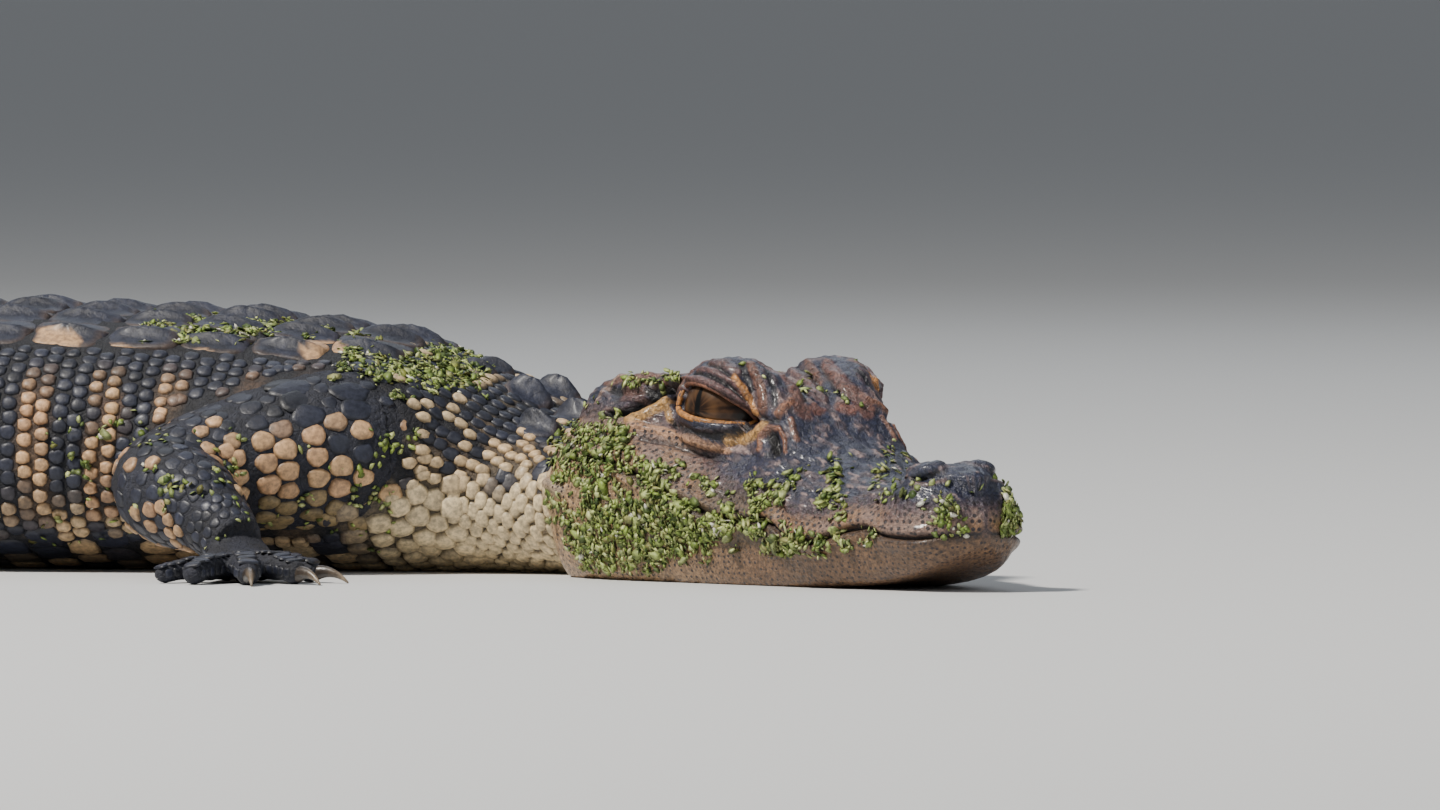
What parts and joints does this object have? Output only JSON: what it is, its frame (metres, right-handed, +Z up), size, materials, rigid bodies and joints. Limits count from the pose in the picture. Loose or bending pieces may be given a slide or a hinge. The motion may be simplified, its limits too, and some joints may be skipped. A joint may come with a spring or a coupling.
{
  "type": "american alligator",
  "caption": "Still, life-size model of a young American alligator lying flat with its mouth closed and its head turned to its right.",
  "frame": {"origin": "bottom centre of the bounding box, on the floor under the chest and belly", "axes": "+X towards the head along the body, +Z up, the animal's right side faces -Y"},
  "size_m": [0.7236, 0.2616, 0.0488],
  "materials": {
    "back": "satin",
    "skull": "satin",
    "jaw": "satin",
    "limb": "satin",
    "claw": "gloss",
    "eye": "gloss"
  },
  "bodies": {
    "root": {"claw_foot_left_1": "claw", "claw_foot_left_2": "claw", "claw_foot_left_3": "claw", "claw_foot_right_1": "claw", "claw_foot_right_2": "claw", "claw_foot_right_3": "claw", "claw_hand_left_1": "claw", "claw_hand_left_2": "claw", "claw_hand_left_3": "claw", "claw_hand_right_1": "claw", "claw_hand_right_2": "claw", "claw_hand_right_3": "claw", "eye_left": "eye", "eye_right": "eye", "foot_left": "limb", "foot_right": "limb", "forearm_left": "limb", "forearm_right": "limb", "hand_left": "limb", "hand_right": "limb", "head": "skull", "lower_jaw": "jaw", "neck": "back", "shank_left": "limb", "shank_right": "limb", "tail_base": "back", "tail_middle": "back", "tail_rear": "back", "tail_tip": "back", "thigh_left": "limb", "thigh_right": "limb", "torso": "back", "upper_arm_left": "limb", "upper_arm_right": "limb"}
  },
  "joints": []
}
